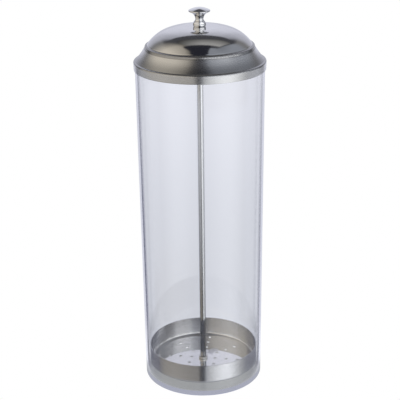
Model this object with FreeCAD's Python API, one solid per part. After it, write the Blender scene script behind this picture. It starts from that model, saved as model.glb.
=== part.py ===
import FreeCAD, Part
import math
import os

# ---------------------------------------------------------------------------
# Lift-lid drinking-straw dispenser: a tall clear jar, a pressed stainless lid
# with a turned knob, and a centre rod that carries a drained tray for straws.
# Millimetres, +Z up, origin at the centre of the jar's flat base.
# ---------------------------------------------------------------------------

V = FreeCAD.Vector

# --- jar (moulded clear acrylic, tapered by its moulding draft) ---
JAR_R_BASE = 48.92          # outer radius at the base
JAR_R_REF = 51.12           # outer radius at JAR_Z_REF
JAR_Z_REF = 265.0
JAR_WALL = 2.2
JAR_FLOOR = 3.5
JAR_TOP = 271.05
JAR_BASE_ROUND = 1.3        # outside bottom corner
JAR_FLOOR_ROUND = 1.6       # inside corner of wall and floor
JAR_RIM_ROUND = 0.9         # inner and outer rim corners

# --- lid (one stainless pressing) ---
LID_T = 0.5
LID_Z_EDGE = 265.0          # bottom edge of the band
LID_R_EDGE = 52.03
LID_R_BAND = 52.20
LID_Z_BAND = 270.75
LID_Z_SEAT = 298.10         # flat centre of the dome, under the knob
LID_HOLE_R = 2.20

# --- knob (turned, plated) ---
KNOB_R_HEAD = 8.5
KNOB_TOP = 313.10
KNOB_BORE_R = 2.0
KNOB_BORE_TOP = 304.6

# --- lift rod (5 mm bar with turned-down M4 ends) ---
ROD_R = 2.5
THREAD_R = 1.95
ROD_TOP_SHOULDER = 294.60
ROD_TOP_END = 304.0
ROD_LOW_SHOULDER = 12.5
ROD_LOW_END = 4.8

# --- tray (shallow drawn pan with drain holes) ---
TRAY_R = 45.4
TRAY_T = 0.7
TRAY_Z_BOTTOM = 9.6
TRAY_Z_RIM = 26.35
TRAY_ROUND_OUT = 3.0
TRAY_HOLE_R = 2.2
DRAIN_R = 1.2
DRAIN_RAY_0 = 81.0          # direction of the first ray of holes, degrees
DRAIN_MAIN = (10.2, 19.8, 29.4, 38.6)
DRAIN_DIAG = (14.6, 24.3, 33.9)

# --- M4 hardware ---
NUT_AF = 7.0
NUT_THIN = 2.2
NUT_FULL = 3.2
NUT_BORE_R = 2.0
WASHER_R = 4.5
WASHER_BORE_R = 2.15
WASHER_T = 0.8

EPS = 1e-6


# ------------------------------- helpers -----------------------------------
def pt(p):
    return V(p[0], 0.0, p[1])


def line(a, b):
    return Part.makeLine(pt(a), pt(b))


def arc(a, m, b):
    return Part.Arc(pt(a), pt(m), pt(b)).toShape()


def spline(pts, t0=None, t1=None):
    c = Part.BSplineCurve()
    kw = {}
    if t0 is not None:
        kw["InitialTangent"] = V(t0[0], 0, t0[1])
        kw["FinalTangent"] = V(t1[0], 0, t1[1])
    c.interpolate([pt(p) for p in pts], **kw)
    return c.toShape()


def fillet_points(a, corner, b, r):
    """Tangent points and middle point of a radius r between two straight runs."""
    ux, uz = a[0] - corner[0], a[1] - corner[1]
    vx, vz = b[0] - corner[0], b[1] - corner[1]
    lu, lv = math.hypot(ux, uz), math.hypot(vx, vz)
    ux, uz, vx, vz = ux / lu, uz / lu, vx / lv, vz / lv
    half = math.acos(max(-1, min(1, ux * vx + uz * vz))) / 2
    d = r / math.tan(half)
    p = (corner[0] + ux * d, corner[1] + uz * d)
    q = (corner[0] + vx * d, corner[1] + vz * d)
    bx, bz = ux + vx, uz + vz
    lb = math.hypot(bx, bz)
    h = r / math.sin(half) - r
    m = (corner[0] + bx / lb * h, corner[1] + bz / lb * h)
    return p, m, q


def loop(corners):
    """Closed profile of straight runs, each corner with its own radius."""
    n = len(corners)
    parts = []
    for i, (x, z, r) in enumerate(corners):
        prev, nxt = corners[i - 1], corners[(i + 1) % n]
        if r > 0:
            parts.append(fillet_points(prev, (x, z), nxt, r))
        else:
            parts.append(((x, z), None, (x, z)))
    edges = []
    for i in range(n):
        p, m, q = parts[i]
        if m is not None:
            edges.append(arc(p, m, q))
        s = parts[(i + 1) % n][0]
        if math.hypot(s[0] - q[0], s[1] - q[1]) > 1e-7:
            edges.append(line(q, s))
    return edges


def turn(edges):
    """Solid of revolution about Z from a closed profile in the XZ plane."""
    wire = Part.Wire(Part.__sortEdges__(edges))
    face = Part.Face(wire)
    s = face.revolve(V(0, 0, 0), V(0, 0, 1), 360)
    s = s if s.ShapeType == "Solid" else Part.Solid(s.Shells[0])
    if s.Volume < 0:
        s.reverse()
    return s


def cyl(r, z0, z1, x=0.0, y=0.0):
    return Part.makeCylinder(r, z1 - z0, V(x, y, z0), V(0, 0, 1))


def hex_nut(z0, h, turn_deg):
    """Hexagon nut, chamfered top and bottom, plain bore at the thread's root."""
    rc = NUT_AF / math.sqrt(3)
    pts = [V(rc * math.cos(math.radians(turn_deg + 60 * k)),
             rc * math.sin(math.radians(turn_deg + 60 * k)), z0) for k in range(6)]
    prism = Part.Face(Part.makePolygon(pts + [pts[0]])).extrude(V(0, 0, h))
    rf = NUT_AF / 2 * 0.97
    c = (rc - rf) * math.tan(math.radians(30))
    cone = turn(loop([(0, z0, 0), (rf, z0, 0), (rc + 0.001, z0 + c, 0),
                      (rc + 0.001, z0 + h - c, 0), (rf, z0 + h, 0), (0, z0 + h, 0)]))
    body = prism.common(cone)
    # countersunk thread mouths
    bore = turn(loop([(0, z0 - 1, 0), (NUT_BORE_R + 0.2, z0 - 1, 0), (NUT_BORE_R + 0.2, z0, 0),
                      (NUT_BORE_R, z0 + 0.2, 0), (NUT_BORE_R, z0 + h - 0.2, 0),
                      (NUT_BORE_R + 0.2, z0 + h, 0), (NUT_BORE_R + 0.2, z0 + h + 1, 0),
                      (0, z0 + h + 1, 0)]))
    return one(body.cut(bore))


def washer(z0):
    return turn(loop([(WASHER_BORE_R, z0, 0), (WASHER_R, z0, 0.12), (WASHER_R, z0 + WASHER_T, 0.12),
                      (WASHER_BORE_R, z0 + WASHER_T, 0)]))


def one(shape):
    sol = shape.Solids
    if len(sol) != 1:
        raise RuntimeError("expected one solid, got %d" % len(sol))
    return sol[0]


# ------------------------------- the jar -----------------------------------
def jar():
    k = (JAR_R_REF - JAR_R_BASE) / JAR_Z_REF
    ro = lambda z: JAR_R_BASE + k * z
    ri = lambda z: JAR_R_BASE + k * z - JAR_WALL
    return turn(loop([
        (0.0, 0.0, 0),
        (ro(0.0), 0.0, JAR_BASE_ROUND),
        (ro(JAR_TOP), JAR_TOP, JAR_RIM_ROUND),
        (ri(JAR_TOP), JAR_TOP, JAR_RIM_ROUND),
        (ri(JAR_FLOOR), JAR_FLOOR, JAR_FLOOR_ROUND),
        (0.0, JAR_FLOOR, 0),
    ]))


# ------------------------------- the lid -----------------------------------
# outer profile, from the band's bottom edge up to the seat, as (r, z)
FLARE = [(50.18, 272.48), (49.34, 273.42), (48.45, 274.48), (47.45, 275.75), (46.43, 277.12),
         (45.35, 278.72), (44.38, 280.22), (43.62, 281.45)]
DOME = [(40.72, 285.12), (39.00, 287.22), (36.00, 290.15), (33.00, 292.45), (30.00, 294.22),
        (27.00, 295.52), (24.00, 296.50), (21.00, 297.30), (18.50, 297.80), (16.50, 298.04)]


def lid_outer():
    """Outer profile: band, shoulder, ledge, flare, bead step, shelf, dome, seat."""
    e = []
    b0, b1 = (LID_R_EDGE, LID_Z_EDGE), (LID_R_BAND, LID_Z_BAND)
    e.append(line(b0, b1))
    e.append(arc(b1, (51.86, 271.58), (51.02, 271.93)))
    e.append(arc((51.02, 271.93), (50.56, 272.12), FLARE[0]))
    e.append(spline(FLARE))
    e.append(spline([FLARE[-1], (43.27, 282.15), (43.08, 282.70), (43.02, 283.15)]))
    e.append(arc((43.02, 283.15), (42.84, 283.62), (42.40, 283.88)))
    e.append(line((42.40, 283.88), (41.62, 284.18)))
    e.append(arc((41.62, 284.18), (41.12, 284.55), DOME[0]))
    e.append(spline(DOME))
    e.append(spline([DOME[-1], (15.2, 298.095), (14.0, LID_Z_SEAT)]))
    e.append(line((14.0, LID_Z_SEAT), (LID_HOLE_R, LID_Z_SEAT)))
    return e


def offset_inward(edges, t, step=0.8):
    """Parallel points a distance t inside the given chain of edges."""
    out = []
    for e in edges:
        n = max(3, int(e.Length / step))
        a, b = e.FirstParameter, e.LastParameter
        for i in range(n + 1):
            u = a + (b - a) * i / n
            p = e.valueAt(u)
            d = e.tangentAt(u)
            # the chain runs outward edge to centre, so the metal is on its left
            nx, nz = -d.z, d.x
            L = math.hypot(nx, nz)
            out.append((p.x + nx / L * t, p.z + nz / L * t))
    return out


def lid_shell():
    outer = lid_outer()
    z_in = LID_Z_SEAT - LID_T
    inner = [(LID_R_EDGE - LID_T, LID_Z_EDGE)]
    for p in offset_inward(outer[:-1], LID_T)[1:]:
        q = inner[-1]
        if p[0] > q[0] - 0.01 and p[1] < q[1] + 0.01:
            continue                      # folded-back points at tight corners
        if p[1] > z_in - 1e-4 or p[0] < 14.6:
            continue
        if math.hypot(p[0] - q[0], p[1] - q[1]) > 0.4:
            inner.append(p)
    inner.append((14.0, z_in))
    prof = list(outer)
    prof.append(line((LID_HOLE_R, LID_Z_SEAT), (LID_HOLE_R, z_in)))
    prof.append(line((LID_HOLE_R, z_in), inner[-1]))
    for a, b in zip(inner[::-1], inner[::-1][1:]):
        prof.append(line(a, b))
    prof.append(line(inner[0], (LID_R_EDGE, LID_Z_EDGE)))
    return turn(prof)


# ------------------------------- the knob ----------------------------------
def knob():
    z = LID_Z_SEAT
    prof = []
    prof.append(line((KNOB_BORE_R, z), (4.70, z)))
    # base bead
    prof.append(arc((4.70, z), (5.12, z + 1.70), (4.90, z + 3.30)))
    prof.append(line((4.90, z + 3.30), (4.30, z + 3.55)))
    # small collar above the bead
    prof.append(arc((4.30, z + 3.55), (4.34, z + 4.00), (3.95, z + 4.40)))
    # waist, swept underside of the head, rim and crown
    prof.append(spline([(3.95, z + 4.40), (3.45, z + 5.00), (3.22, z + 5.70), (3.28, z + 6.70),
                        (3.60, z + 7.75), (4.15, z + 8.80), (5.00, z + 9.85), (6.25, z + 10.78),
                        (7.35, z + 11.34), (8.155, z + 11.71)]))
    prof.append(arc((8.155, z + 11.71), (KNOB_R_HEAD, z + 12.30), (8.11, z + 12.91)))
    prof.append(spline([(8.11, z + 12.91), (6.80, z + 13.50), (5.20, z + 14.10), (3.50, z + 14.60),
                        (1.80, z + 14.90), (0.0, KNOB_TOP)]))
    prof.append(line((0.0, KNOB_TOP), (0.0, KNOB_BORE_TOP + 1.0)))
    prof.append(line((0.0, KNOB_BORE_TOP + 1.0), (KNOB_BORE_R, KNOB_BORE_TOP)))
    prof.append(line((KNOB_BORE_R, KNOB_BORE_TOP), (KNOB_BORE_R, z)))
    return turn(prof)


# ------------------------------ the lift rod -------------------------------
def lift_rod():
    return turn(loop([
        (0.0, ROD_LOW_END, 0),
        (THREAD_R - 0.35, ROD_LOW_END, 0),
        (THREAD_R, ROD_LOW_END + 0.35, 0),
        (THREAD_R, ROD_LOW_SHOULDER, 0),
        (ROD_R - 0.3, ROD_LOW_SHOULDER, 0),
        (ROD_R, ROD_LOW_SHOULDER + 0.3, 0),
        (ROD_R, ROD_TOP_SHOULDER - 0.3, 0),
        (ROD_R - 0.3, ROD_TOP_SHOULDER, 0),
        (THREAD_R, ROD_TOP_SHOULDER, 0),
        (THREAD_R, ROD_TOP_END - 0.35, 0),
        (THREAD_R - 0.35, ROD_TOP_END, 0),
        (0.0, ROD_TOP_END, 0),
    ]))


# -------------------------------- the tray ---------------------------------
def tray():
    ri = TRAY_R - TRAY_T
    zf = TRAY_Z_BOTTOM + TRAY_T
    pan = turn(loop([
        (TRAY_HOLE_R, TRAY_Z_BOTTOM, 0),
        (TRAY_R, TRAY_Z_BOTTOM, TRAY_ROUND_OUT),
        (TRAY_R, TRAY_Z_RIM, 0.22),
        (ri, TRAY_Z_RIM, 0.22),
        (ri, zf, TRAY_ROUND_OUT - TRAY_T),
        (TRAY_HOLE_R, zf, 0),
    ]))
    drills = []
    for k in range(4):
        for r in DRAIN_MAIN:
            a = math.radians(DRAIN_RAY_0 + 90 * k)
            drills.append(cyl(DRAIN_R, TRAY_Z_BOTTOM - 1, zf + 1, r * math.cos(a), r * math.sin(a)))
        for r in DRAIN_DIAG:
            a = math.radians(DRAIN_RAY_0 + 45 + 90 * k)
            drills.append(cyl(DRAIN_R, TRAY_Z_BOTTOM - 1, zf + 1, r * math.cos(a), r * math.sin(a)))
    return one(pan.cut(Part.makeCompound(drills)))


# ------------------------------- assembly ----------------------------------
z_floor = TRAY_Z_BOTTOM + TRAY_T
nodes = {
    "jar": jar(),
    "lid_shell": lid_shell(),
    "knob": knob(),
    "lift_rod": lift_rod(),
    "lid_washer": washer(LID_Z_SEAT - LID_T - WASHER_T),
    "lid_lock_nut": hex_nut(LID_Z_SEAT - LID_T - WASHER_T - NUT_THIN, NUT_THIN, 10.0),
    "tray": tray(),
    "tray_top_nut": hex_nut(z_floor, NUT_THIN, 21.0),
    "tray_washer": washer(TRAY_Z_BOTTOM - WASHER_T),
    "tray_bottom_nut": hex_nut(TRAY_Z_BOTTOM - WASHER_T - NUT_FULL, NUT_FULL, 3.0),
}

os.makedirs("parts", exist_ok=True)
for name, shape in nodes.items():
    ok = shape.isValid() and shape.ShapeType == "Solid" and shape.isClosed()
    bb = shape.BoundBox
    print("%-16s %s vol %.1f  x %.2f..%.2f  z %.2f..%.2f" %
          (name, "ok" if ok else "BAD", shape.Volume, bb.XMin, bb.XMax, bb.ZMin, bb.ZMax))
    if not ok:
        raise RuntimeError(name + " is not a valid closed solid")
    shape.exportStep("parts/%s.step" % name)
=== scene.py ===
import math

import bmesh
import bpy
import numpy as np
from mathutils import Matrix, Vector, geometry


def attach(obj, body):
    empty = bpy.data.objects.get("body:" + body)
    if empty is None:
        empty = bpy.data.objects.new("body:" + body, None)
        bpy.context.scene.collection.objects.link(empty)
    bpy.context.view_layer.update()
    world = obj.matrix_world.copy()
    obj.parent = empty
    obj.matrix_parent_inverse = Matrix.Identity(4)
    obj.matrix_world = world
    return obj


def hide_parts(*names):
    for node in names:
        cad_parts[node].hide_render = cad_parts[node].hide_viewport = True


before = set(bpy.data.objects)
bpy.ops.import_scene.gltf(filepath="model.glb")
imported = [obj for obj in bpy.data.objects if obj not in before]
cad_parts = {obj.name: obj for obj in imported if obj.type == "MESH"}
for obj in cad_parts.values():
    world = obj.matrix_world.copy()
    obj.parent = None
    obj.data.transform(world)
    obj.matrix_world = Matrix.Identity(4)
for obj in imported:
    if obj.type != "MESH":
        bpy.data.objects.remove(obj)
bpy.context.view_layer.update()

scene = bpy.context.scene

# ---------------------------------------------------------------------------
# Camera: fitted to the jar's edges, base curve, lid edge and tray rim.
# ---------------------------------------------------------------------------
FOCAL_PX = 1161.73
SIZE_PX = 400.0
CAM_POS = Vector((0.0, -0.892, 0.4845))
YAW, PITCH, ROLL = -0.0013984, 0.3543498, -0.0122903

fw = Vector((math.sin(YAW) * math.cos(PITCH), math.cos(YAW) * math.cos(PITCH), -math.sin(PITCH)))
right = fw.cross(Vector((0, 0, 1))).normalized()
up = right.cross(fw).normalized()
r2 = math.cos(ROLL) * right + math.sin(ROLL) * up
u2 = -math.sin(ROLL) * right + math.cos(ROLL) * up
cam_data = bpy.data.cameras.new("photo_camera")
cam_data.sensor_fit = "HORIZONTAL"
cam_data.sensor_width = 36.0
cam_data.lens = FOCAL_PX / SIZE_PX * 36.0
cam_data.clip_start, cam_data.clip_end = 0.01, 50.0
cam = bpy.data.objects.new("photo_camera", cam_data)
cam.matrix_world = Matrix((
    (r2.x, u2.x, -fw.x, CAM_POS.x),
    (r2.y, u2.y, -fw.y, CAM_POS.y),
    (r2.z, u2.z, -fw.z, CAM_POS.z),
    (0, 0, 0, 1)))
scene.collection.objects.link(cam)
scene.camera = cam
scene.view_settings.view_transform = "Standard"
scene.view_settings.look = "None"
scene.view_settings.exposure = 0.0
scene.view_settings.gamma = 1.0

# ---------------------------------------------------------------------------
# Dimensions (mm), the same as the construction's
# ---------------------------------------------------------------------------
JAR_R_BASE, JAR_R_REF, JAR_Z_REF = 48.92, 51.12, 265.0
JAR_WALL, JAR_FLOOR, JAR_TOP = 2.2, 3.5, 271.05
LID_T, LID_Z_SEAT, LID_HOLE_R = 0.5, 298.10, 2.20
LID_R_EDGE, LID_Z_EDGE, LID_R_BAND, LID_Z_BAND = 52.03, 265.0, 52.20, 270.75
FLARE = [(50.18, 272.48), (49.34, 273.42), (48.45, 274.48), (47.45, 275.75), (46.43, 277.12),
         (45.35, 278.72), (44.38, 280.22), (43.62, 281.45)]
DOME = [(40.72, 285.12), (39.00, 287.22), (36.00, 290.15), (33.00, 292.45), (30.00, 294.22),
        (27.00, 295.52), (24.00, 296.50), (21.00, 297.30), (18.50, 297.80), (16.50, 298.04)]
TRAY_R, TRAY_T, TRAY_Z0, TRAY_ZRIM = 45.4, 0.7, 9.6, 26.35
TRAY_ROUND, TRAY_HOLE_R, DRAIN_R, DRAIN_RAY_0 = 3.0, 2.2, 1.2, 81.0
DRAIN_MAIN = (10.2, 19.8, 29.4, 38.6)
DRAIN_DIAG = (14.6, 24.3, 33.9)
ROD_R, THREAD_R, PITCH_MM = 2.5, 1.95, 0.7
ROD_LOW, ROD_SHOULDER = 4.8, 12.5
NUT_AF, NUT_THIN, NUT_FULL = 7.0, 2.2, 3.2
WASHER_R, WASHER_BORE_R, WASHER_T = 4.5, 2.15, 0.8

MM = 0.001
FLOOR_NEAR, FLOOR_FAR = (0.675, 0.695, 0.755), (0.80, 0.815, 0.89)
FLOOR_SHADOW_DISC, FLOOR_LIT_PATCH = (0.362, 0.373, 0.380), (0.93, 0.95, 0.97)


# ---------------------------------------------------------------------------
# Profile helpers (all in mm, points are (radius, height))
# ---------------------------------------------------------------------------
def runs(a, b, step):
    n = max(1, int(math.ceil(math.hypot(b[0] - a[0], b[1] - a[1]) / step)))
    return [(a[0] + (b[0] - a[0]) * i / n, a[1] + (b[1] - a[1]) * i / n) for i in range(n + 1)]


def arc3(a, m, b, n):
    """n segments of the circle through three points."""
    (ax, ay), (bx, by), (cx, cy) = a, m, b
    d = 2 * (ax * (by - cy) + bx * (cy - ay) + cx * (ay - by))
    ux = ((ax * ax + ay * ay) * (by - cy) + (bx * bx + by * by) * (cy - ay) + (cx * cx + cy * cy) * (ay - by)) / d
    uy = ((ax * ax + ay * ay) * (cx - bx) + (bx * bx + by * by) * (ax - cx) + (cx * cx + cy * cy) * (bx - ax)) / d
    r = math.hypot(ax - ux, ay - uy)
    t0, tm, t1 = (math.atan2(p[1] - uy, p[0] - ux) for p in (a, m, b))

    def wrap(t):
        while t <= -math.pi:
            t += 2 * math.pi
        while t > math.pi:
            t -= 2 * math.pi
        return t
    dm, d1 = wrap(tm - t0), wrap(t1 - t0)
    if dm * d1 < 0 or abs(dm) > abs(d1):
        d1 = d1 - math.copysign(2 * math.pi, d1)
    return [(ux + r * math.cos(t0 + d1 * i / n), uy + r * math.sin(t0 + d1 * i / n)) for i in range(n + 1)]


def natural_spline(pts, step):
    """Natural cubic spline through pts, by chord length."""
    p = np.array(pts, float)
    s = np.r_[0, np.cumsum(np.hypot(*np.diff(p, axis=0).T))]
    n = len(p)
    h = np.diff(s)
    A = np.zeros((n, n))
    rhs = np.zeros((n, 2))
    A[0, 0] = A[-1, -1] = 1
    for i in range(1, n - 1):
        A[i, i - 1], A[i, i], A[i, i + 1] = h[i - 1], 2 * (h[i - 1] + h[i]), h[i]
        rhs[i] = 6 * ((p[i + 1] - p[i]) / h[i] - (p[i] - p[i - 1]) / h[i - 1])
    m = np.linalg.solve(A, rhs)
    out = []
    k = max(2, int(math.ceil(s[-1] / step)))
    for t in np.linspace(0, s[-1], k + 1):
        i = min(n - 2, max(0, int(np.searchsorted(s, t, "right") - 1)))
        a, b = (s[i + 1] - t) / h[i], (t - s[i]) / h[i]
        q = a * p[i] + b * p[i + 1] + ((a ** 3 - a) * m[i] + (b ** 3 - b) * m[i + 1]) * h[i] ** 2 / 6
        out.append((float(q[0]), float(q[1])))
    return out


def fair(pts, rounds, keep_ends=2):
    """Evens out the curvature of a dense line of points, with its ends held."""
    p = np.array(pts, float)
    for _ in range(rounds):
        q = p.copy()
        q[keep_ends:-keep_ends] += 0.25 * (p[keep_ends - 1:-keep_ends - 1] + p[keep_ends + 1:len(p) - keep_ends + 1]
                                           - 2 * p[keep_ends:-keep_ends])
        p = q
    return [tuple(v) for v in p]


def chain(*lists):
    """Joins runs of points, dropping the doubled ones."""
    out = []
    for pts in lists:
        for q in pts:
            if not out or math.hypot(q[0] - out[-1][0], q[1] - out[-1][1]) > 1e-5:
                out.append(q)
    return out


def rounded_loop(corners, step=2.0, closed=True):
    """Straight runs between corners (r, z, radius), with every radius as a real arc
    and a support point beside each arc, so that flat faces stay flat."""
    n = len(corners)
    parts = []
    for i, (x, z, r) in enumerate(corners):
        a, b = corners[i - 1], corners[(i + 1) % n]
        if r <= 0:
            parts.append([(x, z)])
            continue
        ux, uz, vx, vz = a[0] - x, a[1] - z, b[0] - x, b[1] - z
        lu, lv = math.hypot(ux, uz), math.hypot(vx, vz)
        ux, uz, vx, vz = ux / lu, uz / lu, vx / lv, vz / lv
        half = math.acos(max(-1, min(1, ux * vx + uz * vz))) / 2
        d = r / math.tan(half)
        bx, bz = ux + vx, uz + vz
        lb = math.hypot(bx, bz)
        hh = r / math.sin(half) - r
        seg = max(5, min(14, int(r * 8)))
        pts = arc3((x + ux * d, z + uz * d), (x + bx / lb * hh, z + bz / lb * hh), (x + vx * d, z + vz * d), seg)
        e = min(0.25 * r, 0.2)
        if lu > d + 2 * e:
            pts = [(x + ux * (d + e), z + uz * (d + e))] + pts
        if lv > d + 2 * e:
            pts = pts + [(x + vx * (d + e), z + vz * (d + e))]
        parts.append(pts)
    out = []
    for i in range(n if closed else n - 1):
        out = chain(out, parts[i], runs(parts[i][-1], parts[(i + 1) % n][0], step))
    if not closed:
        out = chain(out, parts[-1])
    return out


# ---------------------------------------------------------------------------
# Mesh helpers
# ---------------------------------------------------------------------------
def new_object(name, verts, faces, mats=None, body=None, replaces=()):
    me = bpy.data.meshes.new(name)
    me.from_pydata([tuple(v) for v in verts], [], faces)
    me.update()
    ob = bpy.data.objects.new(name, me)
    scene.collection.objects.link(ob)
    bm = bmesh.new()
    bm.from_mesh(me)
    bmesh.ops.remove_doubles(bm, verts=bm.verts, dist=1e-7)
    bmesh.ops.recalc_face_normals(bm, faces=bm.faces)
    bm.to_mesh(me)
    bm.free()
    for p in me.polygons:
        p.use_smooth = True
    if body:
        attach(ob, body)
    if replaces:
        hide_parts(*replaces)
    return ob


def ring_mesh(rings, seg, close=True, phase=0.0):
    """Vertices (m) and faces of rings (R, Z) turned about the axis. R and Z are numbers or arrays over the
    angle; a ring with R equal to 0 is a single point on the axis."""
    ang = phase + np.arange(seg) * 2 * math.pi / seg
    ca, sa = np.cos(ang), np.sin(ang)
    verts, idx = [], []
    for R, Z in rings:
        if np.isscalar(R) and abs(R) < 1e-9:
            idx.append([len(verts)] * seg)
            verts.append((0.0, 0.0, float(Z) * MM))
            continue
        Ra = np.broadcast_to(np.asarray(R, float), (seg,))
        Za = np.broadcast_to(np.asarray(Z, float), (seg,))
        idx.append(list(range(len(verts), len(verts) + seg)))
        verts.extend(zip((Ra * ca * MM).tolist(), (Ra * sa * MM).tolist(), (Za * MM).tolist()))
    faces = []
    n = len(rings)
    for i in range(n if close else n - 1):
        a, b = idx[i], idx[(i + 1) % n]
        if a[0] == a[1] and b[0] == b[1]:
            continue
        for j in range(seg):
            k = (j + 1) % seg
            quad = [a[j], a[k], b[k], b[j]]
            f = []
            for v in quad:
                if v not in f:
                    f.append(v)
            if len(f) > 2:
                faces.append(f)
    return verts, faces


def sharpen(ob, degrees):
    """Marks the edges that turn more than this as sharp, so that they shade as edges."""
    me = ob.data
    bm = bmesh.new()
    bm.from_mesh(me)
    lim = math.radians(degrees)
    for e in bm.edges:
        e.smooth = not (len(e.link_faces) == 2 and e.calc_face_angle(0.0) > lim)
    bm.to_mesh(me)
    bm.free()


def thread_radius(theta, z, root, crest):
    """Radius of an M4 x 0.7 thread at an angle and a height."""
    u = (z / PITCH_MM - theta / (2 * math.pi)) % 1.0
    t = np.clip((0.5 - np.abs(u - 0.5)) * 2, 0, 1)          # 0 at the root, 1 at the crest
    t = np.clip((t - 0.14) / 0.66, 0, 1)
    t = t * t * (3 - 2 * t) * 0.35 + t * 0.65
    return root + (crest - root) * t


# ---------------------------------------------------------------------------
# Node helpers
# ---------------------------------------------------------------------------
class Nodes:
    def __init__(self, tree):
        self.t = tree
        self.t.nodes.clear()
        self.x = 0

    def new(self, kind, **props):
        n = self.t.nodes.new(kind)
        self.x += 160
        n.location = (self.x % 2400, -(self.x // 2400) * 320)
        for k, v in props.items():
            setattr(n, k, v)
        return n

    def put(self, sock, v):
        if isinstance(v, bpy.types.NodeSocket):
            self.t.links.new(v, sock)
        else:
            sock.default_value = v

    def math(self, op, a, b=0.0, c=0.0, clamp=False):
        n = self.new("ShaderNodeMath", operation=op, use_clamp=clamp)
        self.put(n.inputs[0], a)
        self.put(n.inputs[1], b)
        self.put(n.inputs[2], c)
        return n.outputs[0]

    def ramp(self, x, a, b, lo=0.0, hi=1.0, kind="SMOOTHSTEP"):
        n = self.new("ShaderNodeMapRange", interpolation_type=kind, clamp=True)
        self.put(n.inputs["Value"], x)
        self.put(n.inputs["From Min"], a)
        self.put(n.inputs["From Max"], b)
        self.put(n.inputs["To Min"], lo)
        self.put(n.inputs["To Max"], hi)
        return n.outputs["Result"]

    def mix(self, fac, a, b):
        n = self.new("ShaderNodeMix", data_type="RGBA", clamp_factor=True)
        self.put(n.inputs[0], fac)
        self.put(n.inputs[6], a if isinstance(a, bpy.types.NodeSocket) else (*a, 1.0))
        self.put(n.inputs[7], b if isinstance(b, bpy.types.NodeSocket) else (*b, 1.0))
        return n.outputs[2]

    def noise(self, vec, scale, detail=2.0, rough=0.5, w=None, dims="3D"):
        n = self.new("ShaderNodeTexNoise", noise_dimensions=dims)
        self.put(n.inputs["Vector"], vec)
        n.inputs["Scale"].default_value = scale
        n.inputs["Detail"].default_value = detail
        n.inputs["Roughness"].default_value = rough
        if w is not None:
            self.put(n.inputs["W"], w)
        return n.outputs["Fac"]

    def combine(self, x, y, z):
        n = self.new("ShaderNodeCombineXYZ")
        for i, v in enumerate((x, y, z)):
            self.put(n.inputs[i], v)
        return n.outputs[0]

    def cylindrical(self):
        """cos and sin of the angle about the axis, radius and height in mm, from object coordinates."""
        tc = self.new("ShaderNodeTexCoord")
        sc = self.new("ShaderNodeVectorMath", operation="SCALE")
        self.put(sc.inputs[0], tc.outputs["Object"])
        sc.inputs["Scale"].default_value = 1000.0
        sep = self.new("ShaderNodeSeparateXYZ")
        self.put(sep.inputs[0], sc.outputs[0])
        x, y, z = sep.outputs
        r = self.math("SQRT", self.math("ADD", self.math("MULTIPLY", x, x), self.math("MULTIPLY", y, y)))
        rs = self.math("MAXIMUM", r, 0.01)
        return self.math("DIVIDE", x, rs), self.math("DIVIDE", y, rs), r, z, sc.outputs[0]


def material(name):
    m = bpy.data.materials.new(name)
    m.use_nodes = True
    g = Nodes(m.node_tree)
    out = g.new("ShaderNodeOutputMaterial")
    p = g.new("ShaderNodeBsdfPrincipled")
    m.node_tree.links.new(p.outputs[0], out.inputs["Surface"])
    return m, g, p, out


def turned_metal(name, color, tint, rough, rough_amp, aniso=0.0, rot=0.0, along=2.0, fine=6.0,
                 bump=0.0, bump_dist=0.00002, smudge=0.0, painted_crease_shade=None, painted_end_shade=None):
    """Metal finished on a lathe or a brush: its marks run round the axis. fine is the number of marks
    per mm, along how soon a mark ends along its way round."""
    m, g, p, out = material(name)
    cx, cy, r, z, obj = g.cylindrical()
    vec = g.combine(g.math("MULTIPLY", cx, along), g.math("MULTIPLY", cy, along), g.math("MULTIPLY", z, fine))
    marks = g.noise(vec, 1.0, 3.0, 0.65, w=g.math("MULTIPLY", r, fine), dims="4D")
    cloud = g.noise(obj, 0.055, 3.0, 0.55)
    p.inputs["Metallic"].default_value = 1.0
    base = g.mix(g.ramp(marks, 0.3, 0.7), color, tint)
    dark = tuple(c * 0.93 for c in color)
    base = g.mix(g.ramp(cloud, 0.35, 0.75, 0.0, 0.35 + smudge), base, dark)
    if painted_crease_shade:                          # painted shade in a crease: height from, height to, how dark
        za, zb, dk = painted_crease_shade
        crease_shade_mask = g.math("MULTIPLY", g.ramp(z, za - 0.25, za + 0.25), g.ramp(z, zb - 0.25, zb + 0.25, 1.0, 0.0))
        base = g.mix(g.math("MULTIPLY", crease_shade_mask, dk), base, (0.10, 0.098, 0.10))
    if painted_end_shade:                            # painted shade, darker towards one end: height from, height to, how much is left
        za, zb, left_over = painted_end_shade
        base = g.mix(g.ramp(z, za, zb, kind="LINEAR"), base, tuple(c * left_over for c in color))
    g.put(p.inputs["Base Color"], base)
    ro = g.math("ADD", rough - rough_amp / 2, g.math("MULTIPLY", g.ramp(marks, 0.25, 0.75), rough_amp))
    if smudge:
        ro = g.math("ADD", ro, g.math("MULTIPLY", g.ramp(cloud, 0.45, 0.8), smudge * 0.2))
    g.put(p.inputs["Roughness"], ro)
    if aniso:
        p.inputs["Anisotropic"].default_value = aniso
        p.inputs["Anisotropic Rotation"].default_value = rot
        tg = g.new("ShaderNodeTangent", direction_type="RADIAL", axis="Z")
        g.put(p.inputs["Tangent"], tg.outputs[0])
    if bump:
        b = g.new("ShaderNodeBump")
        b.inputs["Strength"].default_value = bump
        b.inputs["Distance"].default_value = bump_dist
        g.put(b.inputs["Height"], marks)
        g.put(p.inputs["Normal"], b.outputs[0])
    return m


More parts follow.
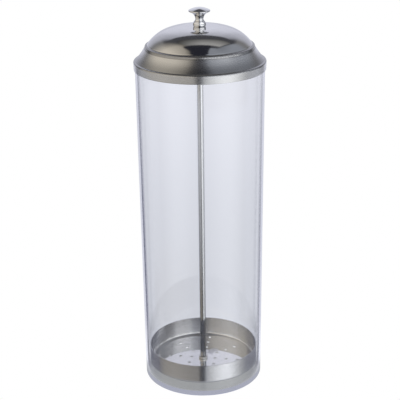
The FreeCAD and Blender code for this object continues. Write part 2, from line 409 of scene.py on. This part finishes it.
STEEL, STEEL_T = (0.70, 0.70, 0.705), (0.76, 0.755, 0.75)
mat_lid_dome = turned_metal("lid_polished_steel", STEEL, STEEL_T, 0.10, 0.02, aniso=0.3, rot=0.25,
                            along=2.5, fine=3.0, bump=0.01)
# painted shade: the flare's colour is darkened in the crease at its top and towards its lower edge
mat_lid_flare = turned_metal("lid_satin_steel", STEEL, STEEL_T, 0.27, 0.03, aniso=0.3, rot=0.25,
                             along=2.5, fine=3.5, bump=0.008, painted_crease_shade=(281.5, 284.5, 0.55), painted_end_shade=(279.6, 274.4, 0.64))
mat_lid_band = turned_metal("lid_brushed_steel", (0.66, 0.66, 0.665), (0.76, 0.755, 0.75), 0.27, 0.05, aniso=0.7,
                            rot=0.25, along=3.0, fine=4.0, bump=0.05)
mat_lid_inside = turned_metal("lid_inside_steel", (0.62, 0.62, 0.625), (0.70, 0.70, 0.70), 0.32, 0.10, aniso=0.3,
                              rot=0.25, along=2.0, fine=2.5, bump=0.08)
mat_tray_wall = turned_metal("tray_brushed_steel", (0.63, 0.635, 0.655), (0.71, 0.715, 0.735), 0.25, 0.04, aniso=0.7,
                             rot=0.25, along=3.0, fine=4.0, bump=0.05)
mat_tray_round = turned_metal("tray_drawn_corner", (0.74, 0.74, 0.745), (0.80, 0.80, 0.80), 0.13, 0.03, aniso=0.2,
                              rot=0.25, along=2.0, fine=3.0, bump=0.02)
mat_tray_floor = turned_metal("tray_polished_steel", (0.73, 0.73, 0.735), (0.78, 0.78, 0.78), 0.05, 0.02,
                              along=2.0, fine=1.5, bump=0.02)
mat_chrome = turned_metal("knob_mirror_chrome", (0.82, 0.82, 0.83), (0.86, 0.86, 0.87), 0.025, 0.01,
                          along=2.0, fine=5.0, bump=0.02, smudge=0.15)
# painted shade: the rod's colour darkens towards its lower end
mat_rod = turned_metal("rod_polished_chrome", (0.90, 0.91, 0.93), (0.95, 0.955, 0.97), 0.09, 0.04,
                       along=1.0, fine=3.0, bump=0.04, smudge=0.1, painted_end_shade=(270.0, 60.0, 0.56))
mat_plated = turned_metal("hardware_nickel_plate", (0.66, 0.655, 0.64), (0.74, 0.735, 0.72), 0.16, 0.08,
                          along=2.0, fine=6.0, bump=0.08, smudge=0.3)


def acrylic():
    """Clear moulded acrylic: faint flow waves, hardly any haze, a cool tint that shows where the path is long."""
    m, g, p, out = material("jar_clear_acrylic")
    cx, cy, r, z, obj = g.cylindrical()
    flow = g.noise(g.combine(g.math("MULTIPLY", cx, 2.2), g.math("MULTIPLY", cy, 2.2), g.math("MULTIPLY", z, 0.006)),
                   1.0, 2.0, 0.5)
    haze = g.noise(obj, 0.02, 4.0, 0.6)
    p.inputs["Base Color"].default_value = (1.0, 1.0, 1.0, 1.0)
    p.inputs["Transmission Weight"].default_value = 1.0
    p.inputs["IOR"].default_value = 1.49
    g.put(p.inputs["Roughness"], g.ramp(haze, 0.35, 0.8, 0.0, 0.02))
    b = g.new("ShaderNodeBump")
    b.inputs["Strength"].default_value = 0.25
    b.inputs["Distance"].default_value = 0.0002
    g.put(b.inputs["Height"], flow)
    g.put(p.inputs["Normal"], b.outputs[0])
    # light caught inside the rim: it would leave only after more turns than are traced
    lp = g.new("ShaderNodeLightPath")
    caught = g.new("ShaderNodeEmission")
    caught.inputs["Color"].default_value = (0.47, 0.475, 0.51, 1.0)
    mx = g.new("ShaderNodeMixShader")
    g.put(mx.inputs[0], g.math("GREATER_THAN", lp.outputs["Glossy Depth"], 3.5))
    m.node_tree.links.new(p.outputs[0], mx.inputs[1])
    m.node_tree.links.new(caught.outputs[0], mx.inputs[2])
    m.node_tree.links.new(mx.outputs[0], out.inputs["Surface"])
    m.cycles.emission_sampling = "NONE"
    va = g.new("ShaderNodeVolumeAbsorption")
    va.inputs["Color"].default_value = (0.93, 0.938, 0.98, 1.0)
    va.inputs["Density"].default_value = 60.0
    m.node_tree.links.new(va.outputs[0], out.inputs["Volume"])
    return m


mat_acrylic = acrylic()

# ---------------------------------------------------------------------------
# Jar
# ---------------------------------------------------------------------------
kz = (JAR_R_REF - JAR_R_BASE) / JAR_Z_REF
ro = lambda z: JAR_R_BASE + kz * z
ri = lambda z: JAR_R_BASE + kz * z - JAR_WALL
prof = rounded_loop([
    (0.0, 0.0, 0), (ro(0.0), 0.0, 1.3), (ro(JAR_TOP), JAR_TOP, 0.9), (ri(JAR_TOP), JAR_TOP, 0.9),
    (ri(JAR_FLOOR), JAR_FLOOR, 1.6), (0.0, JAR_FLOOR, 0)], step=6.0, closed=False)
v, f = ring_mesh(prof, 256, close=False)
jar = new_object("jar_shell", v, f, body="jar", replaces=("jar",))
jar.data.materials.append(mat_acrylic)

# ---------------------------------------------------------------------------
# Lid: one pressing, outer skin and inner skin of the same sheet
# ---------------------------------------------------------------------------
dome_line = fair(natural_spline(DOME + [(15.2, 298.095)], 0.25), 160)
outer = chain(
    runs((LID_R_EDGE - 0.01, LID_Z_EDGE + 0.12), (LID_R_BAND, LID_Z_BAND), 0.7),
    arc3((LID_R_BAND, LID_Z_BAND), (51.86, 271.58), (51.02, 271.93), 10),
    arc3((51.02, 271.93), (50.56, 272.12), FLARE[0], 8),
    natural_spline(FLARE, 0.3),
    natural_spline([FLARE[-1], (43.27, 282.15), (43.08, 282.70), (43.02, 283.15)], 0.16),
    arc3((43.02, 283.15), (42.84, 283.62), (42.40, 283.88), 6),
    runs((42.40, 283.88), (41.62, 284.18), 0.2),
    arc3((41.62, 284.18), (41.12, 284.55), DOME[0], 6),
    dome_line,
    natural_spline([dome_line[-1], (14.6, 298.10), (14.0, LID_Z_SEAT)], 0.3),
    runs((14.0, LID_Z_SEAT), (LID_HOLE_R + 0.15, LID_Z_SEAT), 0.6),
)
inner = []
for i, q in enumerate(outer):
    a, b = outer[max(0, i - 1)], outer[min(len(outer) - 1, i + 1)]
    tx, tz = b[0] - a[0], b[1] - a[1]
    L = math.hypot(tx, tz)
    c = (q[0] - tz / L * LID_T, q[1] + tx / L * LID_T)
    if inner and (c[0] > inner[-1][0] - 0.01 and c[1] < inner[-1][1] + 0.01):
        continue
    if inner and math.hypot(c[0] - inner[-1][0], c[1] - inner[-1][1]) < 0.12:
        continue
    inner.append(c)
z_in = LID_Z_SEAT - LID_T
inner = [c for c in inner if c[1] < z_in - 1e-4 and c[0] > 14.6]
inner = [(LID_R_EDGE - LID_T + 0.01, LID_Z_EDGE + 0.12)] + [c for c in inner if c[1] > LID_Z_EDGE + 0.5]
inner += runs((14.0, z_in), (LID_HOLE_R + 0.1, z_in), 1.2)
rim = [(LID_R_EDGE - LID_T + 0.06, LID_Z_EDGE + 0.035), (LID_R_EDGE - LID_T + 0.14, LID_Z_EDGE),
       (LID_R_EDGE - 0.14, LID_Z_EDGE), (LID_R_EDGE - 0.05, LID_Z_EDGE + 0.035)]
bore = [(LID_HOLE_R + 0.04, LID_Z_SEAT - 0.04), (LID_HOLE_R, LID_Z_SEAT - 0.14), (LID_HOLE_R, z_in + 0.1),
        (LID_HOLE_R + 0.03, z_in + 0.03)]
prof = outer + bore + inner[::-1] + rim
v, f = ring_mesh(prof, 320)
lid = new_object("lid_pressing", v, f, body="lift_assembly", replaces=("lid_shell",))
for m in (mat_lid_dome, mat_lid_flare, mat_lid_band, mat_lid_inside):
    lid.data.materials.append(m)
for p in lid.data.polygons:
    c = p.center
    rr, zz = math.hypot(c.x, c.y) / MM, c.z / MM
    n_out = p.normal.x * c.x + p.normal.y * c.y
    up_face = p.normal.z > 0.02 or n_out > 0
    if not up_face:
        p.material_index = 3
    elif zz < LID_Z_BAND + 0.15:
        p.material_index = 2
    elif zz < 284.4:
        p.material_index = 1
    else:
        p.material_index = 0

# ---------------------------------------------------------------------------
# Knob
# ---------------------------------------------------------------------------
z0 = LID_Z_SEAT
up_z = lambda pts: [(a, b + z0) for a, b in pts]
prof = chain(
    up_z(arc3((4.70, 0.0), (5.12, 1.70), (4.90, 3.30), 18)),
    up_z([(4.85, 3.37), (4.76, 3.42)]), up_z(runs((4.6, 3.46), (4.30, 3.55), 0.12)),
    up_z(arc3((4.30, 3.55), (4.34, 4.00), (3.95, 4.40), 10)),
    up_z(natural_spline([(3.95, 4.40), (3.45, 5.00), (3.22, 5.70), (3.28, 6.70), (3.60, 7.75), (4.15, 8.80),
                         (5.00, 9.85), (6.25, 10.78), (7.35, 11.34), (8.155, 11.71)], 0.16)),
    up_z(arc3((8.155, 11.71), (8.5, 12.30), (8.11, 12.91), 12)),
    up_z(natural_spline([(8.11, 12.91), (6.80, 13.50), (5.20, 14.10), (3.50, 14.60), (1.80, 14.90), (0.0, 15.0)], 0.2)),
)
prof[-1] = (0.0, 313.10)
prof += [(0.0, 305.6), (2.0, 304.6), (2.0, z0 + 0.1), (2.1, z0), (3.4, z0)]
v, f = ring_mesh(prof, 192, close=True)
knob = new_object("knob_turned", v, f, body="lift_assembly", replaces=("knob",))
knob.data.materials.append(mat_chrome)
sharpen(knob, 40)

# ---------------------------------------------------------------------------
# Lift rod, with its two threaded ends
# ---------------------------------------------------------------------------
SEG_ROD = 96
th = np.arange(SEG_ROD) * 2 * math.pi / SEG_ROD


def threaded(z_a, z_b, fade_a, fade_b):
    rings = []
    n = int(round((z_b - z_a) / 0.06))
    for i in range(n + 1):
        z = z_a + (z_b - z_a) * i / n
        r = thread_radius(th, z, 1.62, THREAD_R)
        ka = min(1.0, (z - z_a) / fade_a) if fade_a else 1.0
        kb = min(1.0, (z_b - z) / fade_b) if fade_b else 1.0
        cap = 1.55 + 0.4 * min(1.0, max(0.0, min(ka, kb)))
        rings.append((np.minimum(r, cap), z))
    return rings


rings = [(0.0, ROD_LOW), (1.4, ROD_LOW)] + threaded(ROD_LOW + 0.05, ROD_SHOULDER - 0.25, 0.5, 0.5)
rings += [(1.62, ROD_SHOULDER - 0.1), (1.66, ROD_SHOULDER)]
rs = ROD_SHOULDER
rings += [(a, b) for a, b in chain([(2.1, rs)], arc3((2.2, rs), (2.41, rs + 0.09), (2.5, rs + 0.3), 5),
                                   runs((2.5, rs + 0.5), (2.5, 294.1), 4.0),
                                   arc3((2.5, 294.3), (2.41, 294.51), (2.2, 294.6), 5), [(2.1, 294.6)])]
rings += [(1.66, 294.6), (1.62, 294.7)] + threaded(294.85, 303.95, 0.5, 0.5) + [(1.4, 304.0), (0.0, 304.0)]
v, f = ring_mesh(rings, SEG_ROD, close=False)
rod = new_object("lift_rod_threaded", v, f, body="lift_assembly", replaces=("lift_rod",))
rod.data.materials.append(mat_rod)
sharpen(rod, 50)


# ---------------------------------------------------------------------------
# Nuts and washers
# ---------------------------------------------------------------------------
def nut(name, z_low, h, turn_deg, node):
    seg = 192
    ang = np.arange(seg) * 2 * math.pi / seg
    # radius of a hexagon with softly rounded corners, at each angle
    a = (ang - math.radians(turn_deg) + math.pi / 6) % (math.pi / 3) - math.pi / 6   # 0 at a corner
    flat = NUT_AF / 2 / np.cos(np.abs(a) - math.pi / 6)
    rc = NUT_AF / math.sqrt(3)
    R = np.minimum(flat, rc - 0.07 - 0.9 * (a ** 2))
    R = np.minimum(R, flat)
    rf = NUT_AF / 2 * 0.955
    t30 = math.tan(math.radians(28))

    def level(k):                       # radius fraction between the face circle and the flats
        return rf + (R - rf) * k
    z_top = z_low + h
    rings = []
    rings += [(2.28, z_low), (rf - 0.12, z_low), (rf, z_low + 0.02)]
    for k in (0.35, 0.7, 0.93):
        rings.append((level(k), z_low + 0.02 + (level(k) - rf) * t30))
    edge = 0.02 + (R - rf) * t30
    rings.append((R, z_low + edge + 0.05))
    for q in (0.25, 0.5, 0.75):
        rings.append((R, z_low + edge + 0.05 + (h - 2 * edge - 0.1) * q))
    rings.append((R, z_top - edge - 0.05))
    for k in (0.93, 0.7, 0.35):
        rings.append((level(k), z_top - 0.02 - (level(k) - rf) * t30))
    rings += [(rf, z_top - 0.02), (rf - 0.12, z_top), (2.28, z_top)]
    n = int(round((h - 0.3) / 0.06))
    for i in range(n + 1):
        z = z_top - 0.15 - (h - 0.3) * i / n
        rr = thread_radius(ang, z, 1.67, 2.0)
        k = min(1.0, min(z_top - 0.15 - z, z - z_low - 0.15) / 0.3)
        rings.append((np.maximum(rr, 2.1 - 0.45 * k), z))
    v, f = ring_mesh(rings, seg)
    ob = new_object(name, v, f, body="lift_assembly", replaces=(node,))
    ob.data.materials.append(mat_plated)
    sharpen(ob, 22)
    return ob


def washer(name, z_low, node):
    prof = rounded_loop([(WASHER_BORE_R, z_low, 0.08), (WASHER_R, z_low, 0.14), (WASHER_R, z_low + WASHER_T, 0.14),
                         (WASHER_BORE_R, z_low + WASHER_T, 0.08)], step=1.0)
    v, f = ring_mesh(prof, 96)
    ob = new_object(name, v, f, body="lift_assembly", replaces=(node,))
    ob.data.materials.append(mat_plated)
    return ob


nut("lid_lock_nut_hex", 294.6, NUT_THIN, 10.0, "lid_lock_nut")
nut("tray_top_nut_hex", TRAY_Z0 + TRAY_T, NUT_THIN, 21.0, "tray_top_nut")
nut("tray_bottom_nut_hex", TRAY_Z0 - WASHER_T - NUT_FULL, NUT_FULL, 3.0, "tray_bottom_nut")
washer("lid_washer_disc", 296.8, "lid_washer")
washer("tray_washer_disc", TRAY_Z0 - WASHER_T, "tray_washer")

# ---------------------------------------------------------------------------
# Tray: drawn pan with punched drain holes
# ---------------------------------------------------------------------------
SEG_T = 256
z_floor = TRAY_Z0 + TRAY_T
r_in = TRAY_R - TRAY_T
round_in = TRAY_ROUND - TRAY_T
R_TOP = r_in - round_in - 0.2           # where the flat of the floor ends, above and below
R_BOT = TRAY_R - TRAY_ROUND - 0.2
side = rounded_loop([(R_TOP, z_floor, 0), (r_in, z_floor, round_in), (r_in, TRAY_ZRIM, 0.22),
                     (TRAY_R, TRAY_ZRIM, 0.22), (TRAY_R, TRAY_Z0, TRAY_ROUND), (R_BOT, TRAY_Z0, 0)],
                    step=1.2, closed=False)
holes = [(0.0, 0.0, TRAY_HOLE_R, 64)]
for k in range(4):
    for rad in DRAIN_MAIN:
        a = math.radians(DRAIN_RAY_0 + 90 * k)
        holes.append((rad * math.cos(a), rad * math.sin(a), DRAIN_R, 36))
    for rad in DRAIN_DIAG:
        a = math.radians(DRAIN_RAY_0 + 45 + 90 * k)
        holes.append((rad * math.cos(a), rad * math.sin(a), DRAIN_R, 36))


def sheet_wave(x, y):
    """Slight unevenness of the pressed floor, and the draw-in that a punch leaves round each hole."""
    rr = np.hypot(x, y)
    w = (0.022 * np.sin(0.115 * x + 0.9) * np.cos(0.098 * y - 0.4) + 0.010 * np.sin(0.21 * x - 0.17 * y + 2.0)
         + 0.005 * np.cos(0.31 * y + 0.13 * x))
    w = w * np.clip((R_TOP - rr) / 6.0, 0, 1) * np.clip((rr - 5.2) / 4.0, 0, 1)
    for hx, hy, hr, _ in holes[1:]:
        d = np.hypot(x - hx, y - hy) - hr
        w = w - 0.030 * np.exp(-np.clip(d, 0, None) / 0.35)
    return w


def floor_sheet(z, r_out, lip, wave_sign):
    """Flat sheet with every hole, as vertices, triangles and the rings of its borders."""
    pts, edges, rings = [], [], []

    def circle(x, y, r, n):
        i0 = len(pts)
        for i in range(n):
            a = 2 * math.pi * i / n
            pts.append((x + r * math.cos(a), y + r * math.sin(a)))
        edges.extend([(i0 + i, i0 + (i + 1) % n) for i in range(n)])
        rings.append(list(range(i0, i0 + n)))
    circle(0, 0, r_out, SEG_T)
    for x, y, r, n in holes:
        circle(x, y, r + lip, n)
    # filling points on staggered rows, and a closer ring round each hole
    def clear(x, y, gap):
        if math.hypot(x, y) > r_out - 0.7:
            return False
        return all(math.hypot(x - hx, y - hy) > hr + lip + gap for hx, hy, hr, _ in holes)
    for x, y, r, n in holes[1:]:
        for ex, m in ((0.22, 36), (0.55, 28), (1.05, 22)):
            for i in range(m):
                a = 2 * math.pi * (i + 0.5) / m
                pts.append((x + (r + lip + ex) * math.cos(a), y + (r + lip + ex) * math.sin(a)))
    step = 1.3
    row = 0
    yy = -r_out
    while yy < r_out:
        xx = -r_out + (step / 2 if row % 2 else 0)
        while xx < r_out:
            if clear(xx, yy, 1.55 if True else 0):
                pts.append((xx, yy))
            xx += step
        yy += step * 0.866
        row += 1
    vo, eo, fo, ov, oe, of_ = geometry.delaunay_2d_cdt([Vector(p) for p in pts], edges, [], 1, 1e-5)
    back = {}
    for new_i, olds in enumerate(ov):
        for o in olds:
            back[o] = new_i
    xy = np.array([(q.x, q.y) for q in vo])
    tris = []
    for t in fo:
        c = xy[list(t)].mean(0)
        if math.hypot(*c) > r_out:
            continue
        if any(math.hypot(c[0] - hx, c[1] - hy) < hr + lip - 0.001 for hx, hy, hr, _ in holes):
            continue
        tris.append(list(t))
    zz = z + sheet_wave(xy[:, 0], xy[:, 1])
    edge = np.hypot(xy[:, 0], xy[:, 1]) > r_out - 0.01
    zz[edge] = z
    V = [(float(a) * MM, float(b) * MM, float(c) * MM) for (a, b), c in zip(xy, zz)]
    return V, tris, [[back[i] for i in ring] for ring in rings], zz


top_v, top_f, top_rings, top_z = floor_sheet(z_floor, R_TOP, 0.16, 1)
bot_v, bot_f, bot_rings, bot_z = floor_sheet(TRAY_Z0, R_BOT, 0.05, 1)
verts, faces = list(top_v), [list(t) for t in top_f]
off = len(verts)
verts += bot_v
faces += [[i + off for i in t] for t in bot_f]
# side wall
sv, sf = ring_mesh(side, SEG_T, close=False)
o2 = len(verts)
verts += sv
faces += [[i + o2 for i in t] for t in sf]
# hole walls: rolled edge above, straight punch, small burr below
for h, (hx, hy, hr, n) in enumerate(holes):
    ta, ba = top_rings[h + 1], bot_rings[h + 1]
    zt = np.array([verts[i][2] / MM for i in ta])
    zb = np.array([verts[i + off][2] / MM for i in ba])
    prev = ta
    for dr, fr in ((0.09, 0.04), (0.035, 0.11), (0.0, 0.24), (0.0, 0.80), (0.012, 0.94)):
        cur = []
        for i in range(n):
            a = 2 * math.pi * i / n
            cur.append(len(verts))
            verts.append(((hx + (hr + dr) * math.cos(a)) * MM, (hy + (hr + dr) * math.sin(a)) * MM,
                          (zt[i] + (zb[i] - zt[i]) * fr) * MM))
        for i in range(n):
            k = (i + 1) % n
            faces.append([prev[i], prev[k], cur[k], cur[i]])
        prev = cur
    low = [i + off for i in ba]
    for i in range(n):
        k = (i + 1) % n
        faces.append([prev[i], prev[k], low[k], low[i]])
tray = new_object("tray_pan", verts, faces, body="lift_assembly", replaces=("tray",))
tray.data.materials.append(mat_tray_wall)
tray.data.materials.append(mat_tray_floor)
tray.data.materials.append(mat_tray_round)
for p in tray.data.polygons:
    c = p.center
    rr, zz = math.hypot(c.x, c.y) / MM, c.z / MM
    if (TRAY_Z0 + 0.2 < zz < z_floor + round_in + 0.1) and R_TOP + 0.5 <= rr < r_in + 0.01 and zz > z_floor - 0.2:
        p.material_index = 2
    if zz < z_floor + 0.02 and zz > TRAY_Z0 + 0.3 and rr < R_TOP + 0.5 and p.normal.z > 0.5:
        p.material_index = 1
sharpen(tray, 38)

# ---------------------------------------------------------------------------
# Floor and studio
# ---------------------------------------------------------------------------
scene.cycles.max_bounces = 28
scene.cycles.transmission_bounces = 28
scene.cycles.glossy_bounces = 28
scene.cycles.transparent_max_bounces = 12

floor_me = bpy.data.meshes.new("studio_floor")
bm = bmesh.new()
n_f = 64
c0 = bm.verts.new((0, 0.9, -0.0002))
rim_v = [bm.verts.new((3.2 * math.cos(2 * math.pi * i / n_f), 0.9 + 3.2 * math.sin(2 * math.pi * i / n_f), -0.0002))
         for i in range(n_f)]
for i in range(n_f):
    bm.faces.new((c0, rim_v[i], rim_v[(i + 1) % n_f]))
bm.to_mesh(floor_me)
bm.free()
floor = bpy.data.objects.new("studio_floor", floor_me)
scene.collection.objects.link(floor)
fm = bpy.data.materials.new("studio_floor_white")
fm.use_nodes = True
g = Nodes(fm.node_tree)
tc = g.new("ShaderNodeTexCoord")
sep = g.new("ShaderNodeSeparateXYZ")
g.put(sep.inputs[0], tc.outputs["Object"])
fx, fy = sep.outputs[0], sep.outputs[1]
frad = g.math("SQRT", g.math("ADD", g.math("MULTIPLY", fx, fx), g.math("MULTIPLY", fy, fy)))
# painted contact shadow: a darker disc under the jar, and a painted fall-off of light across the table
fcol = g.mix(g.ramp(frad, 0.10, 0.95), FLOOR_NEAR, FLOOR_FAR)
fcol = g.mix(g.ramp(frad, 0.046, 0.060), FLOOR_SHADOW_DISC, fcol)
# painted light: the back half of the disc under the jar is brightened again
fcol = g.mix(g.math("MULTIPLY", g.ramp(fy, 0.018, 0.034), g.ramp(frad, 0.060, 0.072, 1.0, 0.0)), fcol, FLOOR_LIT_PATCH)
fem = g.new("ShaderNodeEmission")
g.put(fem.inputs["Color"], fcol)
fwhite = g.new("ShaderNodeEmission")
fwhite.inputs["Color"].default_value = (1.0, 1.0, 1.0, 1.0)
fclear = g.new("ShaderNodeBsdfTransparent")
lp = g.new("ShaderNodeLightPath")
# seen straight: white; seen through the clear jar, or right under it: the shaded table; in metal: the studio
# below the horizon
through = g.new("ShaderNodeMixShader")
g.put(through.inputs[0], g.math("MULTIPLY", g.math("GREATER_THAN", lp.outputs["Glossy Depth"], 0.5),
                                g.ramp(frad, 0.054, 0.060)))
fm.node_tree.links.new(fem.outputs[0], through.inputs[1])
fm.node_tree.links.new(fclear.outputs[0], through.inputs[2])
fmix = g.new("ShaderNodeMixShader")
g.put(fmix.inputs[0], lp.outputs["Is Camera Ray"])
fm.node_tree.links.new(through.outputs[0], fmix.inputs[1])
fm.node_tree.links.new(fwhite.outputs[0], fmix.inputs[2])
fout = g.new("ShaderNodeOutputMaterial")
fm.node_tree.links.new(fmix.outputs[0], fout.inputs["Surface"])
floor_me.materials.append(fm)
floor.visible_diffuse = False
floor.visible_shadow = False

world = bpy.data.worlds.new("soft_studio")
scene.world = world
world.use_nodes = True
g = Nodes(world.node_tree)
tc = g.new("ShaderNodeTexCoord")
sep = g.new("ShaderNodeSeparateXYZ")
g.put(sep.inputs[0], tc.outputs["Generated"])
dx, dy, dz = sep.outputs
DEG = 180 / math.pi
az = g.math("MULTIPLY", g.math("ARCTAN2", dx, g.math("MULTIPLY", dy, -1.0)), DEG)     # 0 at the front, + to the right
el = g.math("MULTIPLY", g.math("ARCSINE", dz), DEG)
aaz = g.math("ABSOLUTE", az)
# place on a ceiling plane one unit up: X to the right, Y to the back
inv = g.math("DIVIDE", 1.0, g.math("MAXIMUM", dz, 0.02))
cx = g.math("MULTIPLY", dx, inv)
cy = g.math("MULTIPLY", dy, inv)


def above(x, a, s):
    return g.ramp(x, a - s, a + s)


def below(x, a, s):
    return g.ramp(x, a - s, a + s, 1.0, 0.0)


def offset(x, a, s):
    """0 to 1 as x passes a, where a may be a socket."""
    return g.ramp(g.math("SUBTRACT", x, a), -s, s)


def both(*m):
    v = m[0]
    for k in m[1:]:
        v = g.math("MULTIPLY", v, k)
    return v


def lin(x, a, b, lo, hi):
    return g.ramp(x, a, b, lo, hi, kind="LINEAR")


def tinted(c, k):
    n = g.new("ShaderNodeVectorMath", operation="SCALE")
    n.inputs[0].default_value = c
    g.put(n.inputs["Scale"], k)
    return n.outputs[0]


WARM, COOL = (1.0, 0.92, 0.79), (0.84, 0.89, 1.0)
E = 0.03
side = g.ramp(g.math("ABSOLUTE", cx), 0.78, 1.05)
col = g.mix(side, (0.070, 0.071, 0.080), (0.22, 0.218, 0.222))
# white sweep behind, fading upwards
sw = g.math("ADD", lin(el, -6.0, 2.0, 0.72, 0.65), lin(el, 26.0, 45.0, 0.0, -0.15))
sw = g.math("MULTIPLY", sw, g.math("ADD", 1.0, both(lin(aaz, 150.0, 166.0, -0.17, 0.0), above(el, 4.0, 3.0))))
glow = both(g.ramp(aaz, 156.0, 172.0), lin(el, 4.0, 12.0, 0.0, 0.22), lin(el, 30.0, 44.0, 1.0, 0.4))
sw = g.math("MULTIPLY", sw, g.math("ADD", 1.0, glow))
near = g.math("MULTIPLY", g.math("MINIMUM", g.math("ABSOLUTE", cx), 0.6), 0.42)
col = g.mix(both(above(g.math("ADD", cy, near), 1.02, 0.06), g.ramp(aaz, 134.0, 151.0)), col, tinted((0.95, 0.966, 1.10), sw))
# overhead panel
top = both(lin(cx, -0.45, 0.05, 0.30, 1.0), lin(cy, 0.12, 0.5, 1.0, 0.30), 0.40)
right_edge = g.math("ADD", g.math("MULTIPLY", cy, 0.6), 0.46)
col = g.mix(both(above(cy, 0.03, E), below(cy, 0.5, E), above(cx, -0.45, E),
                 g.math("SUBTRACT", 1.0, offset(cx, right_edge, E))), col, tinted((1.0, 0.985, 0.96), top))
back_half = above(cy, -0.1, E)
# left panel
xl = g.math("ADD", cx, g.math("MULTIPLY", g.math("MAXIMUM", cy, 0.0), 0.64))
l_high = g.math("ADD", lin(xl, -0.42, -0.25, 0.42, 0.12), lin(xl, -0.88, -0.42, 0.27, 0.0))
l_low = both(lin(az, -60.0, -8.0, 0.43, 0.27), lin(az, -115.0, -85.0, 0.45, 1.0), lin(el, -28.0, -24.0, 0.86, 1.0))
left = g.math("ADD", g.math("MULTIPLY", g.ramp(el, -8.0, 0.0), g.math("SUBTRACT", l_high, l_low)), l_low)
col = g.mix(both(below(xl, -0.27, E), lin(az, -136.0, -106.0, 0.0, 1.0), below(cx, 0.0, 0.002)), col,
            tinted(WARM, left))
# the same panel lower down, on the pale table
col = g.mix(both(above(el, -24.0, 1.5), below(el, -15.0, 0.35), above(az, -112.0, 8.0), below(az, -6.0, 2.0)), col,
            tinted((1.0, 1.01, 1.05), lin(el, -22.0, -17.0, 0.48, 0.60)))
# bright strip along its lower edge
col = g.mix(both(above(el, 8.0, 2.5), below(el, 19.0, 3.0), above(az, -86.0, 8.0), below(az, -5.0, 3.0)), col,
            (0.94, 0.915, 0.89))
# right panel, with a bright low strip
xr = g.math("SUBTRACT", cx, g.math("MULTIPLY", back_half, g.math("ADD", g.math("MULTIPLY", cy, 0.6), 0.28)))
r_high = both(0.43, lin(el, 46.0, 60.0, 1.0, 0.77), lin(az, 60.0, 85.0, 1.0, 0.84))
col = g.mix(both(above(xr, 0.24, E), below(az, 126.0, 9.0), above(cx, 0.0, 0.002)), col, tinted(COOL, r_high))
r_low = both(lin(az, 4.0, 40.0, 0.55, 1.28), lin(az, 56.0, 92.0, 1.0, 0.30))
col = g.mix(both(below(el, -6.0, 1.5), above(az, 5.0, 3.0), below(az, 112.0, 8.0)), col,
            tinted((0.97, 0.985, 1.0), r_low))
col = g.mix(both(above(el, 19.0, 4.0), below(el, 36.0, 4.0), above(az, 24.0, 6.0), below(az, 68.0, 8.0)), col,
            (1.00, 1.02, 1.05))
col = g.mix(both(above(el, 8.0, 2.5), below(el, 19.0, 3.0), above(az, 4.0, 3.0), below(az, 92.0, 8.0)), col,
            (2.05, 2.08, 2.12))
# gap and canopy at the front
w_left, w_right = lin(cy, -0.30, -0.05, 0.23, 0.36), lin(cy, -0.30, -0.05, 0.26, 0.29)
mid = g.math("ADD", cx, 0.03)
wide = both(offset(mid, g.math("MULTIPLY", w_left, -1.0), E), g.math("SUBTRACT", 1.0, offset(mid, w_right, E)))
gap = g.math("MAXIMUM", both(wide, below(cy, 0.03, E), above(dz, 0.01, 0.01)),
             both(above(az, -7.5, 2.5), below(az, 3.5, 2.5), below(el, 40.0, 8.0)))
col = g.mix(gap, col, (0.024, 0.025, 0.034))
# dark edges of the side panels near the table; below that the pale table and a narrow dark seam behind it
col = g.mix(both(above(aaz, 122.0, 3.0), below(aaz, 134.0, 2.0), below(el, 14.0, 6.0)), col, (0.028, 0.029, 0.036))
low = both(below(el, -13.6, 0.6), above(el, -26.8, 0.8))
col = g.mix(both(above(az, 90.0, 6.0), below(az, 150.0, 4.0), low), col, (0.60, 0.615, 0.66))
col = g.mix(both(below(az, -106.0, 6.0), above(az, -150.0, 4.0), low), col, (0.46, 0.47, 0.51))
seam = g.math("MULTIPLY", lin(el, -21.0, -14.5, 1.0, 0.45), lin(az, -10.0, 10.0, 1.0, 0.62))
col = g.mix(both(above(aaz, 136.5, 1.5), below(aaz, 150.0, 3.0), low, seam), col, (0.040, 0.045, 0.105))
under = below(el, -26.8, 0.8)
col = g.mix(both(above(aaz, 98.0, 5.0), below(aaz, 151.0, 2.0), under), col, (0.14, 0.143, 0.18))
col = g.mix(both(above(aaz, 154.0, 2.0), under), col, (0.88, 0.90, 0.99))
# the shade that the object stands in
col = g.mix(below(el, -46.0, 9.0), col, (0.30, 0.305, 0.33))
bg = g.new("ShaderNodeBackground")
g.put(bg.inputs["Color"], col)
white = g.new("ShaderNodeBackground")
white.inputs["Color"].default_value = (1, 1, 1, 1)
white.inputs["Strength"].default_value = 1.02
lp = g.new("ShaderNodeLightPath")
mx = g.new("ShaderNodeMixShader")
g.put(mx.inputs[0], lp.outputs["Is Camera Ray"])
world.node_tree.links.new(bg.outputs[0], mx.inputs[1])
world.node_tree.links.new(white.outputs[0], mx.inputs[2])
wo = g.new("ShaderNodeOutputWorld")
world.node_tree.links.new(mx.outputs[0], wo.inputs["Surface"])
